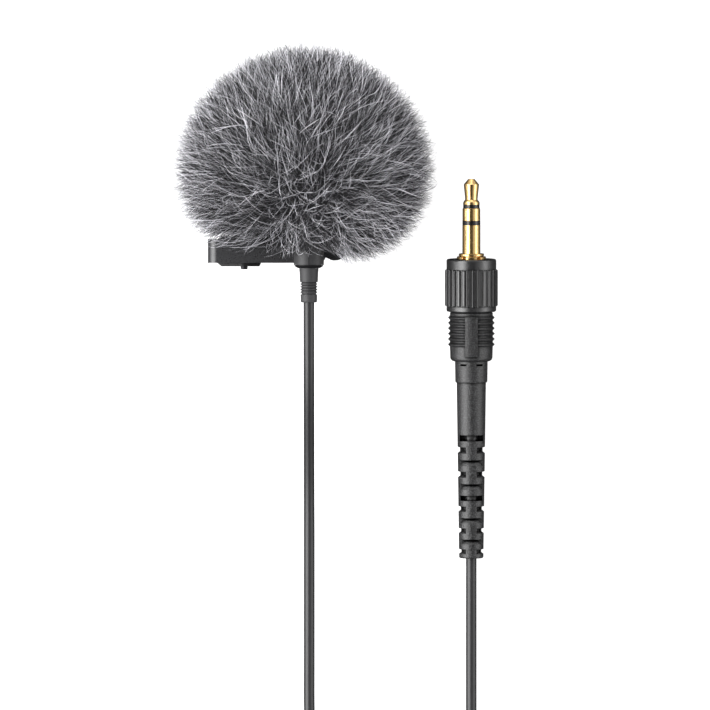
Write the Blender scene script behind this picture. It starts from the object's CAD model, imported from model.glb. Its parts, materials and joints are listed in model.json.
import json
import math
import bpy
import numpy as np
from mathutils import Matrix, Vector


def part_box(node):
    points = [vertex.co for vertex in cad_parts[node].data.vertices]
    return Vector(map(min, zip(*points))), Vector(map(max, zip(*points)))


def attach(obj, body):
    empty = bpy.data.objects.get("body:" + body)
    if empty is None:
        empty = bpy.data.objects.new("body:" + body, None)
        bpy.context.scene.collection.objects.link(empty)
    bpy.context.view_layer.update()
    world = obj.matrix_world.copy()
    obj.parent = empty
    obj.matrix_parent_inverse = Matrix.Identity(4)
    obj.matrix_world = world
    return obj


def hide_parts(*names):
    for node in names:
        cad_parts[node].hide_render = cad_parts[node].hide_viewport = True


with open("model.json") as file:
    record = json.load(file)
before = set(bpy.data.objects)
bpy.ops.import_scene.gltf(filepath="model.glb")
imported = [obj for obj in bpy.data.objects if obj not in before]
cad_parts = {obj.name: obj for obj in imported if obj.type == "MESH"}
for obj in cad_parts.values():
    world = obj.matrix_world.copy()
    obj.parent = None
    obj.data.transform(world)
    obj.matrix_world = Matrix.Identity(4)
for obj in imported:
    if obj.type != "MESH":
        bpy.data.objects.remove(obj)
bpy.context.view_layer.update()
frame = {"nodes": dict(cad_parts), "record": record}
SCENE = bpy.context.scene
MM = 0.001

# Where the CAD model puts the microphone and the windscreen
MIC_AXIS_Z = 20.6 * MM
TAIL_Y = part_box("tail_cap")[0].y
BALL = Vector((-1.05 * MM, TAIL_Y + 21.4 * MM, MIC_AXIS_Z))


# ---------------------------------------------------------------- camera

VIEW_WIDTH = 137.3 * MM
VIEW_X, VIEW_Y, VIEW_Z = 8.88 * MM, -34.52 * MM, 8 * MM
CAMERA_HEIGHT = 3.2
SENSOR = 36.0


def make_camera():
    """Looks straight down on the table, from far enough to flatten the perspective."""
    data = bpy.data.cameras.new("camera")
    data.sensor_width = SENSOR
    data.lens = SENSOR * CAMERA_HEIGHT / VIEW_WIDTH
    data.clip_end = 20
    camera = bpy.data.objects.new("camera", data)
    camera.location = (VIEW_X, VIEW_Y, VIEW_Z + CAMERA_HEIGHT)
    SCENE.collection.objects.link(camera)
    SCENE.camera = camera


make_camera()


# ---------------------------------------------------------------- the cable

CABLE_R = 1 * MM
ROUND_UP = 1.03  # makes up for the flat sides of the drawn circle
COIL_X, COIL_Y = 15.7 * MM, -124 * MM
COIL_OUTER = 15 * MM
COIL_TURNS, COIL_LAYERS = 13.5, 4
COIL_PITCH = 2.05 * MM
COIL_INNER = COIL_OUTER - COIL_PITCH * COIL_TURNS / COIL_LAYERS
CLIMB_FROM, CLIMB_OVER = 0.9, 0.1  # the share of a layer where the cable climbs to the next
COIL_FLOOR = 0.5 * MM
POINTS_PER_TURN = 48

CURVE_STEPS = 6

# Down from the microphone's boot to the table, and along it to the coil, in mm
MIC_ROUTE = (
    (0, -17, 20.6), (0, -24, 20.6), (0, -30, 20.3), (0, -36, 18.8), (0, -42, 15.9),
    (0, -48, 12), (0, -54, 8), (0, -60, 4.6), (0, -66, 2.2), (0, -72, 1.2), (0, -78, 1),
    (0, -86, 1), (0, -94, 1), (0, -102, 1), (0.2, -110, 1.1), (0.5, -117, 1.4),
)
# From the coil along the table, up to the plug, and on inside it along its leaning axis, in mm
PLUG_ROUTE = (
    (31, -119, 7.2), (31.3, -114, 5.8), (31.4, -109, 3.7), (31.4, -104, 1.9), (31.4, -99, 1.1),
    (31.4, -94, 1), (31.4, -89, 1), (31.4, -84, 1.3), (31.4, -79, 1.9), (31.4, -73.84, 2.36),
    (31.4, -60.36, 3.12), (31.4, -46.39, 3.91), (31.4, -32.41, 4.69),
)


def in_metres(route):
    return [tuple(c * MM for c in point) for point in route]


def eased(x):
    """Goes from 0 to 1 with a soft start and end."""
    return x * x * (3 - 2 * x)


def coil_point(turn):
    """A point of the coil: it spirals in and out, one layer on another."""
    per_layer = COIL_TURNS / COIL_LAYERS
    layer = min(int(turn / per_layer), COIL_LAYERS - 1)
    along = turn / per_layer - layer
    inward = layer % 2 == 0
    radius = COIL_OUTER + (COIL_INNER - COIL_OUTER) * (along if inward else 1 - along)
    step_up = 0.0
    if layer < COIL_LAYERS - 1:
        step_up = eased(max(0.0, (along - CLIMB_FROM) / CLIMB_OVER))
    angle = math.pi + turn * 2 * math.pi
    return (
        COIL_X + radius * math.cos(angle),
        COIL_Y + radius * math.sin(angle),
        COIL_FLOOR + CABLE_R + (layer + step_up) * 2 * CABLE_R,
    )


def smooth_line(points):
    """Catmull-Rom curve through the points."""
    p = [Vector(q) for q in points]
    p = [2 * p[0] - p[1]] + p + [2 * p[-1] - p[-2]]
    line = []
    for a, b, c, d in zip(p, p[1:], p[2:], p[3:]):
        for k in range(CURVE_STEPS):
            t = k / CURVE_STEPS
            line.append(0.5 * (2 * b + (c - a) * t + (2 * a - 5 * b + 4 * c - d) * t * t
                               + (3 * b - a - 3 * c + d) * t * t * t))
    return line + [p[-2]]


def cable_line():
    """The whole cable's middle line: microphone, coil, plug. Each run overlaps the coil's end."""
    turns = np.linspace(0, COIL_TURNS, int(COIL_TURNS * POINTS_PER_TURN) + 1)
    coil = [coil_point(t) for t in turns]
    start = smooth_line(in_metres(MIC_ROUTE) + coil[:3])
    end = smooth_line(coil[-3:] + in_metres(PLUG_ROUTE))
    return start[:-2 * CURVE_STEPS] + [Vector(p) for p in coil] + end[2 * CURVE_STEPS + 1:]


def make_cable():
    data = bpy.data.curves.new("cable", "CURVE")
    data.dimensions = "3D"
    data.bevel_depth = ROUND_UP
    data.bevel_resolution = 7
    data.use_fill_caps = True
    spline = data.splines.new("POLY")
    line = cable_line()
    spline.points.add(len(line) - 1)
    spline.points.foreach_set("co", [x for p in line for x in (*p, 1.0)])
    spline.points.foreach_set("radius", [CABLE_R] * len(line))
    spline.use_smooth = True
    cable = bpy.data.objects.new("cable", data)
    SCENE.collection.objects.link(cable)
    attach(cable, "microphone")
    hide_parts("cable_mic_run", "cable_coil", "cable_plug_run")
    return cable


cable = make_cable()


# ---------------------------------------------------------------- materials

USUAL_NOISE = (0.3, 0.7)  # noise seldom goes past these
OPENNESS = (0.58, 0.97)  # from a corner to an open face
CORNER_SHINE = 0.04  # a corner's specular, as a share of an open face's
MARKS_PER_METRE = 900


def new_material(name):
    material = bpy.data.materials.new(name)
    material.use_nodes = True
    nodes = material.node_tree.nodes
    return material, nodes, material.node_tree.links, nodes["Principled BSDF"]


def noise(nodes, links, scale, detail=3.0, stretch=None):
    """Noise in the object's own space, in features per metre."""
    place = nodes.new("ShaderNodeTexCoord")
    texture = nodes.new("ShaderNodeTexNoise")
    texture.inputs["Scale"].default_value = scale
    texture.inputs["Detail"].default_value = detail
    source = place.outputs["Object"]
    if stretch:
        mapping = nodes.new("ShaderNodeMapping")
        mapping.inputs["Scale"].default_value = stretch
        links.new(source, mapping.inputs["Vector"])
        source = mapping.outputs["Vector"]
    links.new(source, texture.inputs["Vector"])
    return texture.outputs["Fac"]


def ramp(nodes, links, source, low, high, at=USUAL_NOISE):
    """Maps a value to a colour between low and high."""
    node = nodes.new("ShaderNodeValToRGB")
    node.color_ramp.elements[0].position, node.color_ramp.elements[1].position = at
    node.color_ramp.elements[0].color = (*low, 1)
    node.color_ramp.elements[1].color = (*high, 1)
    links.new(source, node.inputs["Fac"])
    return node.outputs["Color"]


def spread(nodes, links, source, low, high, at=USUAL_NOISE, smooth=False):
    """Maps a value to a range."""
    node = nodes.new("ShaderNodeMapRange")
    if smooth:
        node.interpolation_type = "SMOOTHSTEP"
    node.inputs["From Min"].default_value, node.inputs["From Max"].default_value = at
    node.inputs["To Min"].default_value = low
    node.inputs["To Max"].default_value = high
    links.new(source, node.inputs["Value"])
    return node.outputs["Result"]


def bump(nodes, links, shader, source, depth):
    node = nodes.new("ShaderNodeBump")
    node.inputs["Distance"].default_value = depth
    node.inputs["Strength"].default_value = 1.0
    links.new(source, node.inputs["Height"])
    links.new(node.outputs["Normal"], shader.inputs["Normal"])


def grained(name, dark, light, rough, grain, depth, specular=0.5, at=USUAL_NOISE,
            corners=0.6 * MM):
    """Plastic, rubber, foam or cloth with an even grain, dark and dull in its corners.

    The grain's colour, roughness and height go together, and corners is how far from another
    surface the darkening starts.
    """
    material, nodes, links, shader = new_material(name)
    fine = noise(nodes, links, grain)
    open_part = nodes.new("ShaderNodeAmbientOcclusion")
    open_part.only_local = True
    open_part.samples = 8
    open_part.inputs["Distance"].default_value = corners
    openness = open_part.outputs["AO"]
    worn = nodes.new("ShaderNodeMath")
    worn.operation = "MULTIPLY"
    links.new(fine, worn.inputs[0])
    links.new(openness, worn.inputs[1])
    links.new(ramp(nodes, links, worn.outputs[0], dark, light, at), shader.inputs["Base Color"])
    links.new(spread(nodes, links, fine, rough - 0.07, rough + 0.07), shader.inputs["Roughness"])
    shader.inputs["Specular IOR Level"].default_value = specular
    shine = spread(nodes, links, openness, CORNER_SHINE * specular, specular, OPENNESS)
    links.new(shine, shader.inputs["Specular IOR Level"])
    bump(nodes, links, shader, fine, depth)
    return material


def metal(name, dark, light, rough, stretch, depth):
    """Metal with fine marks that run round it or along it, by stretch."""
    material, nodes, links, shader = new_material(name)
    marks = noise(nodes, links, MARKS_PER_METRE, 5.0, stretch)
    links.new(ramp(nodes, links, marks, dark, light), shader.inputs["Base Color"])
    links.new(spread(nodes, links, marks, rough - 0.04, rough + 0.05), shader.inputs["Roughness"])
    shader.inputs["Metallic"].default_value = 1.0
    bump(nodes, links, shader, marks, depth)
    return material


# dark and light colour, roughness, grain per metre, grain height, and for some: specular,
# where the noise turns from dark to light, and the reach of the dark corners
GRAINED = {
    "cable_jacket": ((0.012, 0.012, 0.013), (0.017, 0.017, 0.018), 0.38, 5200, 0.006 * MM, 0.42),
    "body_rubber": ((0.002, 0.002, 0.002), (0.034, 0.034, 0.036), 0.42, 4000, 0.08 * MM, 0.52,
                    (0.47, 0.63)),
    "soft_rubber": ((0.024, 0.024, 0.025), (0.036, 0.036, 0.038), 0.58, 4600, 0.012 * MM, 0.4,
                    USUAL_NOISE, 0.2 * MM),
    "clip_plastic": ((0.014, 0.014, 0.015), (0.03, 0.03, 0.032), 0.32, 4600, 0.01 * MM, 0.6),
    "jaw_plastic": ((0.004, 0.004, 0.004), (0.01, 0.01, 0.011), 0.5, 4600, 0.01 * MM, 0.25),
    "ring_plastic": ((0.02, 0.02, 0.021), (0.036, 0.036, 0.038), 0.5, 4600, 0.02 * MM, 0.38),
    "mic_metal": ((0.004, 0.004, 0.004), (0.008, 0.008, 0.009), 0.45, 3800, 0.04 * MM, 0.16),
    "collar_metal": ((0.003, 0.003, 0.003), (0.011, 0.011, 0.012), 0.34, 4600, 0.012 * MM, 0.85),
    "black_insulator": ((0.004, 0.004, 0.004), (0.008, 0.008, 0.008), 0.22, 3000, 0.002 * MM),
    "chips": ((0.012, 0.012, 0.012), (0.02, 0.02, 0.02), 0.5, 5000, 0.006 * MM),
    "board": ((0.004, 0.07, 0.03), (0.008, 0.11, 0.05), 0.35, 2500, 0.004 * MM),
    "wire_jacket": ((0.4, 0.02, 0.015), (0.5, 0.03, 0.02), 0.4, 3000, 0.004 * MM),
    "mould": ((0.6, 0.56, 0.44), (0.7, 0.66, 0.54), 0.4, 2000, 0.006 * MM),
    "elastic": ((0.012, 0.012, 0.013), (0.03, 0.03, 0.032), 0.7, 3600, 0.05 * MM),
    "foam": ((0.010, 0.010, 0.011), (0.035, 0.035, 0.037), 0.9, 1500, 0.3 * MM),
    "fur_backing": ((0.012, 0.012, 0.013), (0.03, 0.03, 0.032), 0.85, 2400, 0.1 * MM),
    "cloth": ((0.05, 0.05, 0.052), (0.09, 0.09, 0.094), 0.8, 5200, 0.04 * MM),
    "hook_tape": ((0.016, 0.016, 0.018), (0.035, 0.035, 0.038), 0.85, 2600, 0.12 * MM),
}

TURNED = (1, 14, 1)

# dark and light colour, roughness, stretch of the marks, their height
METALS = {
    "gold_plate": ((0.66, 0.43, 0.16), (0.76, 0.53, 0.25), 0.23, TURNED, 0.0002 * MM),
    "steel": ((0.5, 0.5, 0.51), (0.68, 0.68, 0.7), 0.28, TURNED, 0.001 * MM),
    "dark_steel": ((0.02, 0.02, 0.022), (0.04, 0.04, 0.043), 0.4, TURNED, 0.001 * MM),
    "capsule": ((0.6, 0.6, 0.62), (0.74, 0.74, 0.76), 0.3, TURNED, 0.001 * MM),
    "copper": ((0.7, 0.36, 0.2), (0.85, 0.46, 0.28), 0.3, TURNED, 0.001 * MM),
}

MATERIALS = {name: grained(name, *values) for name, values in GRAINED.items()}
MATERIALS.update({name: metal(name, *values) for name, values in METALS.items()})

# CAD nodes whose material isn't the one their slot is named after
OWN = {"clip_rear_jaw": "jaw_plastic", "mic_holder": "ring_plastic"}

# How wide the rounding of a CAD node's sharp edges is, in mm
EDGES = {"lock_collar": 0.06, "plug_body": 0.07, "plug_strain_relief": 0.08, "mic_boot": 0.05,
         "mic_holder": 0.08, "clip_front_plate": 0.1, "clip_rear_jaw": 0.1, "coil_tie": 0.6}
SHARP = math.radians(38)


def dress_cad_nodes():
    """Gives each CAD node the material of its slot, and rounds its sharp edges a little."""
    slots = {s["node"]: s["material_slot"] for s in frame["record"]["subparts"]}
    for name, node in frame["nodes"].items():
        material = MATERIALS.get(OWN.get(name, slots[name]))
        if material is None:
            continue
        for slot in node.material_slots:
            slot.link = "OBJECT"
            slot.material = material
        if name in EDGES:
            bevel = node.modifiers.new("edges", "BEVEL")
            bevel.width = EDGES[name] * MM
            bevel.segments = 2
            bevel.limit_method = "ANGLE"
            bevel.angle_limit = SHARP
            bevel.harden_normals = True


dress_cad_nodes()
cable.data.materials.append(MATERIALS["cable_jacket"])


# ---------------------------------------------------------------- the fur

# The ball's outline: its radius at the ends, how far it bulges and at which angle, how fast the
# bulge fades above and below that, and how far it draws in round the microphone's tail
FUR_END_R = 22.8 * MM
FUR_BULGE = 4.5 * MM
BULGE_ANGLE, BULGE_ABOVE, BULGE_BELOW = -25, 56, 40
FUR_TUCK = 1.7 * MM
TUCK_FROM, TUCK_OVER = -42, 35

# The hairs: where they root, as a share of the radius, how they bend and taper, how far they are
# combed towards the head and how far they hang down
ROOT_SHARE = 0.62
BEND_AT = (0.84, 0.97)
TUFT_UNEVEN = 0.012
WAVES = (4, 9)
TAPER = 0.65
THICKER, THINNER = 1.3, 0.7
SEGMENTS = 6
COMB = 5.0 * MM
DROOP = 3.4 * MM
HAIR_ROUGH = 0.4
HAIR_SHINE = 0.09

# How high the hairs that the table presses flat can reach
FLAT = 1.6 * MM

# The room of the clip and of the microphone's tail in the fur, from the tail's end and the
# microphone's axis, and the ragged edge of the fur over the clip's plate
CLIP_X = (-20.2 * MM, 7.8 * MM)
CLIP_Y = (0.3 * MM, 6.6 * MM)
CLIP_Z = (-9.9 * MM, -2.9 * MM)
TAIL_R, TAIL_TOP = 3.15 * MM, 9 * MM
PLATE_LEFT, PLATE_RIGHT = -18.2 * MM, 6.4 * MM
EDGE_TURN = -3 * MM
EDGE_LEFT, EDGE_FALL, EDGE_RIGHT = 4.7 * MM, 0.17, 2.1 * MM
RAGGED_LEFT, RAGGED_RIGHT = 1.3 * MM, 0.4 * MM

# The pile: its share of the fur's radius, its lumps, and where it ends above the tail
PILE_SHARE = 0.74
PILE_LUMP = 0.06
LUMPS = 24
PILE_RINGS, PILE_SIDES = 56, 96
PILE_END = 7 * MM


def fur_radius(angle):
    """How far the fur reaches at an angle above the ball's middle, in degrees."""
    width = np.where(angle > BULGE_ANGLE, BULGE_ABOVE, BULGE_BELOW)
    bulge = FUR_BULGE * np.exp(-((angle - BULGE_ANGLE) / width) ** 2)
    tuck = FUR_TUCK * eased(np.clip((TUCK_FROM - angle) / TUCK_OVER, 0, 1))
    return FUR_END_R + bulge - tuck


def unit(v):
    """The vectors at length 1."""
    return v / np.maximum(np.linalg.norm(v, axis=-1, keepdims=True), 1e-12)


def angle_above(way):
    """A direction's angle above the ball's middle, towards the head, in degrees."""
    return np.degrees(np.arcsin(np.clip(way[:, 1], -1, 1)))


def directions(rng, count):
    """Directions spread evenly over the ball, whose axis is Y."""
    rise = rng.uniform(-1, 1, count)
    turn = rng.uniform(0, 2 * math.pi, count)
    flat = np.sqrt(1 - rise ** 2)
    return np.stack([flat * np.cos(turn), rise, flat * np.sin(turn)], 1)


def sideways(rng, way, size):
    """Random vectors of 0.3 to 1.6 times a size, square to the directions."""
    v = rng.normal(0, 1, way.shape)
    v = unit(v - (v * way).sum(1, keepdims=True) * way)
    return v * (size * rng.uniform(0.3, 1.6, len(way)))[:, None]


def hair_paths(rng, count, reach, tufts, tuft_lean, own_lean, gather, curl):
    """Points along each hair, from its root in the pile to its tip."""
    tip_way = directions(rng, count)
    tuft_way = directions(rng, tufts)
    lean = sideways(rng, tuft_way, tuft_lean)
    nearest = np.argmax(tip_way.astype(np.float32) @ tuft_way.T.astype(np.float32), axis=1)
    radius = fur_radius(angle_above(tip_way))
    # Combed towards the head, the more so on top, and hanging down
    fall = np.zeros((count, 3))
    fall[:, 1] = COMB * (0.25 + 0.75 * np.clip(tip_way[:, 2], 0, 1))
    fall[:, 2] = -DROOP
    fall -= (fall * tip_way).sum(1, keepdims=True) * tip_way
    lean = lean[nearest] + sideways(rng, tip_way, own_lean) + fall
    lean += (tuft_way[nearest] - tip_way) * (radius * gather)[:, None]
    tip = tip_way * (radius * (rng.uniform(*reach, count)
                               + rng.uniform(-TUFT_UNEVEN, TUFT_UNEVEN, tufts)[nearest]))[:, None]
    root_way = unit(tip_way * radius[:, None] - lean)
    root = root_way * (radius * ROOT_SHARE)[:, None]
    bend = root_way * (np.linalg.norm(tip, axis=1) * rng.uniform(*BEND_AT, count))[:, None]
    s = np.linspace(0, 1, SEGMENTS + 1)[None, :, None]
    line = root[:, None] * (1 - s) ** 2 + 2 * bend[:, None] * s * (1 - s) + tip[:, None] * s ** 2
    phase, speed = rng.uniform(0, 2 * math.pi, (count, 1, 1)), rng.uniform(*WAVES, (count, 1, 1))
    line += sideways(rng, tip_way, curl)[:, None] * np.sin(phase + speed * s) * s
    return line + np.array(BALL)


def on_table(points):
    """Presses what would go through the table flat on it."""
    z = points[..., 2]
    points[..., 2] = np.where(z < FLAT, FLAT * np.exp(np.minimum(z - FLAT, 0) / FLAT), z)
    return points


def between(v, limits):
    return (v > limits[0]) & (v < limits[1])


def clear_of_hardware(points):
    """Which hairs miss the clip and the microphone's tail."""
    x, y, z = points[..., 0], points[..., 1] - TAIL_Y, points[..., 2] - MIC_AXIS_Z
    in_clip = between(x, CLIP_X) & between(y, CLIP_Y) & between(z, CLIP_Z)
    in_mic = (x ** 2 + z ** 2 < TAIL_R ** 2) & (y < TAIL_TOP)
    ragged = np.sin(points[:, :1, 0] / MM * 9 + points[:, :1, 2] / MM * 7)
    edge = np.where(x < EDGE_TURN,
                    EDGE_LEFT - EDGE_FALL * (x - PLATE_LEFT) + RAGGED_LEFT * ragged,
                    EDGE_RIGHT + RAGGED_RIGHT * ragged)
    over_plate = (x < PLATE_RIGHT) & (y < edge) & (z > CLIP_Z[0])
    return ~(in_clip | in_mic | over_plate).any(1)


def strand_mesh(name, points, thick, rng):
    """A closed, three-sided tapering hair along each row of points."""
    count = len(points)
    along = unit(np.gradient(points, axis=1))
    across = unit(np.cross(along, unit(rng.normal(0, 1, (count, 1, 3)))))
    up = np.cross(along, across)
    s = np.linspace(0, 1, SEGMENTS + 1)[:-1]
    half = thick / 2 * (1 - TAPER * s ** 2)
    half = half[None, :] * rng.uniform(THINNER, THICKER, count)[:, None]
    ring = []
    for k in range(3):
        a = 2 * math.pi * k / 3
        side = math.cos(a) * across[:, :-1] + math.sin(a) * up[:, :-1]
        ring.append(points[:, :-1] + side * half[..., None])
    body = np.stack(ring, 2).reshape(count, SEGMENTS * 3, 3)
    verts = np.concatenate([body, points[:, -1:]], 1)
    per = SEGMENTS * 3 + 1
    quads = np.array([
        (j * 3 + k, j * 3 + (k + 1) % 3, (j + 1) * 3 + (k + 1) % 3, (j + 1) * 3 + k)
        for j in range(SEGMENTS - 1) for k in range(3)])
    last = (SEGMENTS - 1) * 3
    tris = np.array([(last + k, last + (k + 1) % 3, per - 1) for k in range(3)] + [(2, 1, 0)])
    offset = (np.arange(count) * per)[:, None]
    loops = np.concatenate([
        (quads.reshape(1, -1) + offset), (tris.reshape(1, -1) + offset)], 1)
    sizes = np.tile(np.array([4] * len(quads) + [3] * len(tris)), count)
    starts = np.concatenate([[0], np.cumsum(sizes)[:-1]])
    mesh = bpy.data.meshes.new(name)
    mesh.vertices.add(count * per)
    mesh.vertices.foreach_set("co", verts.reshape(-1).astype(np.float32))
    mesh.loops.add(loops.size)
    mesh.loops.foreach_set("vertex_index", loops.reshape(-1).astype(np.int32))
    mesh.polygons.add(len(sizes))
    mesh.polygons.foreach_set("loop_start", starts.astype(np.int32))
    mesh.polygons.foreach_set("use_smooth", np.ones(len(sizes), bool))
    mesh.update(calc_edges=True)
    mesh.validate()
    hair = bpy.data.objects.new(name, mesh)
    SCENE.collection.objects.link(hair)
    return hair


def hair_material(name, shade):
    """Grey, a little bluish: the lighter the hair, the more it shines."""
    material, _, _, shader = new_material(name)
    shader.inputs["Base Color"].default_value = (shade, shade * 0.99, shade * 1.06, 1)
    shader.inputs["Roughness"].default_value = HAIR_ROUGH
    shader.inputs["Specular IOR Level"].default_value = HAIR_SHINE + shade
    return material


# name, hairs, seed, reach as a share of the radius, tufts, tuft lean and own lean in mm, gather,
# curl and thickness in mm, shade: from the dark undercoat to the few long light hairs
FUR = [
    ("fur_under", 5700, 11, (0.77, 0.89), 900, 1.5, 2.0, 0.1, 0.2, 0.17, 0.004),
    ("fur_mid_a", 5700, 13, (0.82, 0.925), 1100, 1.0, 2.2, 0.1, 0.22, 0.14, 0.01),
    ("fur_mid_b", 5700, 14, (0.85, 0.95), 1100, 0.9, 2.4, 0.1, 0.25, 0.115, 0.012),
    ("fur_mid_c", 5700, 15, (0.88, 0.98), 1100, 0.7, 2.7, 0.1, 0.3, 0.09, 0.02),
    ("fur_mid_d", 5700, 19, (0.89, 0.995), 1300, 0.5, 2.9, 0.0, 0.3, 0.075, 0.04),
    ("fur_guard_a", 5700, 16, (0.90, 1.01), 1300, 0.4, 3.0, 0.0, 0.3, 0.062, 0.1),
    ("fur_guard_b", 5700, 17, (0.91, 1.025), 1300, 0.3, 3.2, 0.0, 0.35, 0.056, 0.55),
    ("fur_guard_c", 1700, 20, (0.92, 1.045), 1300, 0.3, 4.0, 0.0, 0.4, 0.068, 0.98),
    ("fur_stray", 400, 18, (0.94, 1.055), 400, 1.0, 6.0, 0.0, 0.4, 0.08, 0.9),
]


def make_fur():
    for name, count, seed, reach, tufts, tuft_lean, own_lean, gather, curl, thick, shade in FUR:
        rng = np.random.default_rng(seed)
        points = hair_paths(rng, count, reach, tufts, tuft_lean * MM, own_lean * MM, gather,
                            curl * MM)
        points = on_table(points)
        points = points[clear_of_hardware(points)]
        hair = strand_mesh(name, points, thick * MM, rng)
        hair.data.materials.append(hair_material(name, shade))
        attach(hair, "windscreen")
        hair.visible_glossy = False


def make_pile():
    """The dense pile under the visible hairs: a dark, lumpy egg that light doesn't get through."""
    rng = np.random.default_rng(5)
    lumps = [(unit(rng.normal(0, 1, 3)), rng.uniform(8, 22), rng.uniform(0, 6.28))
             for _ in range(LUMPS)]
    verts = []
    for i in range(PILE_RINGS + 1):
        angle = -90 + 180 * i / PILE_RINGS
        for j in range(PILE_SIDES if 0 < i < PILE_RINGS else 1):
            turn = 2 * math.pi * j / PILE_SIDES
            way = np.array([math.cos(math.radians(angle)) * math.cos(turn),
                            math.sin(math.radians(angle)),
                            math.cos(math.radians(angle)) * math.sin(turn)])
            lump = sum(math.sin(f * float(way @ d) + p) for d, f, p in lumps) / LUMPS
            radius = float(fur_radius(np.array(angle))) * (PILE_SHARE + PILE_LUMP * lump)
            verts.append(np.array(BALL) + way * radius)
    verts = on_table(np.array(verts))
    y = verts[:, 1] - TAIL_Y
    verts[:, 1] = TAIL_Y + np.where(y < PILE_END, PILE_END, y)

    def at(i, j):
        """The vertex at a place on a ring; each pole has one vertex."""
        if i in (0, PILE_RINGS):
            return 0 if i == 0 else len(verts) - 1
        return 1 + (i - 1) * PILE_SIDES + j % PILE_SIDES

    faces = [tuple(dict.fromkeys((at(i, j), at(i + 1, j), at(i + 1, j + 1), at(i, j + 1))))
             for i in range(PILE_RINGS) for j in range(PILE_SIDES)]
    mesh = bpy.data.meshes.new("windscreen_pile")
    mesh.from_pydata([tuple(v) for v in verts], [], faces)
    mesh.update()
    pile = bpy.data.objects.new("windscreen_pile", mesh)
    SCENE.collection.objects.link(pile)
    mesh.polygons.foreach_set("use_smooth", [True] * len(mesh.polygons))
    pile.data.materials.append(grained("pile", (0.006, 0.006, 0.007), (0.03, 0.03, 0.032),
                                       0.9, 1800, 0.4 * MM))
    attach(pile, "windscreen")
    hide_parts("windscreen_fur")
    pile.visible_glossy = False


make_fur()
make_pile()


# ---------------------------------------------------------------- table and light

MIDDLE = (12 * MM, -20 * MM, 10 * MM)
TABLE_HALF = 4.0

# name, azimuth from +X and height above the table in degrees, distance, size, radiance
SOFTBOXES = [
    ("left_softbox", 180, 36, 0.8, (2.0, 0.78), 6.5),
    ("right_softbox", 0, 22, 0.8, (1.4, 0.34), 3.2),
    ("far_softbox", 90, 25, 0.8, (0.9, 0.3), 4),
]


def make_table():
    """A white table. It isn't seen in the gloss of the parts, as when it's lit from behind."""
    mesh = bpy.data.meshes.new("table")
    h = TABLE_HALF
    mesh.from_pydata([(-h, -h, 0), (h, -h, 0), (h, h, 0), (-h, h, 0)], [], [(0, 1, 2, 3)])
    table = bpy.data.objects.new("table", mesh)
    SCENE.collection.objects.link(table)
    material, _, _, shader = new_material("table_top")
    shader.inputs["Base Color"].default_value = (0.3, 0.3, 0.3, 1)
    shader.inputs["Roughness"].default_value = 0.9
    shader.inputs["Specular IOR Level"].default_value = 0.0
    shader.inputs["Emission Color"].default_value = (1, 1, 1, 1)
    shader.inputs["Emission Strength"].default_value = 0.92
    mesh.materials.append(material)
    table.visible_diffuse = False
    table.visible_glossy = False


def make_softbox(name, azimuth, height, distance, size, radiance):
    """A long light beside the object, turned to its middle."""
    a, h = math.radians(azimuth), math.radians(height)
    way = Vector((math.cos(a) * math.cos(h), math.sin(a) * math.cos(h), math.sin(h)))
    data = bpy.data.lights.new(name, "AREA")
    data.shape = "RECTANGLE"
    data.size, data.size_y = size
    data.energy = radiance * math.pi * size[0] * size[1]
    light = bpy.data.objects.new(name, data)
    light.location = Vector(MIDDLE) + way * distance
    light.rotation_mode = "QUATERNION"
    light.rotation_quaternion = (-way).to_track_quat("-Z", "Y")
    SCENE.collection.objects.link(light)


def make_world():
    """White walls on both sides, a dark gap between them overhead, and dim below the table."""
    world = bpy.data.worlds.new("studio")
    SCENE.world = world
    world.use_nodes = True
    nodes, links = world.node_tree.nodes, world.node_tree.links
    place = nodes.new("ShaderNodeTexCoord")
    split = nodes.new("ShaderNodeSeparateXYZ")
    links.new(place.outputs["Generated"], split.inputs["Vector"])
    side = nodes.new("ShaderNodeMath")
    side.operation = "ABSOLUTE"
    links.new(split.outputs["X"], side.inputs[0])
    walls = spread(nodes, links, side.outputs[0], low=0.06, high=0.85, at=(0.26, 0.5),
                   smooth=True)
    above = spread(nodes, links, split.outputs["Z"], low=0.15, high=1, at=(-0.4, -0.05),
                   smooth=True)
    level = nodes.new("ShaderNodeMath")
    level.operation = "MULTIPLY"
    links.new(walls, level.inputs[0])
    links.new(above, level.inputs[1])
    links.new(level.outputs[0], nodes["Background"].inputs["Strength"])
    nodes["Background"].inputs["Color"].default_value = (1, 1, 1, 1)


make_table()
for softbox in SOFTBOXES:
    make_softbox(*softbox)
make_world()
SCENE.view_settings.view_transform = "Standard"

bpy.context.view_layer.update()
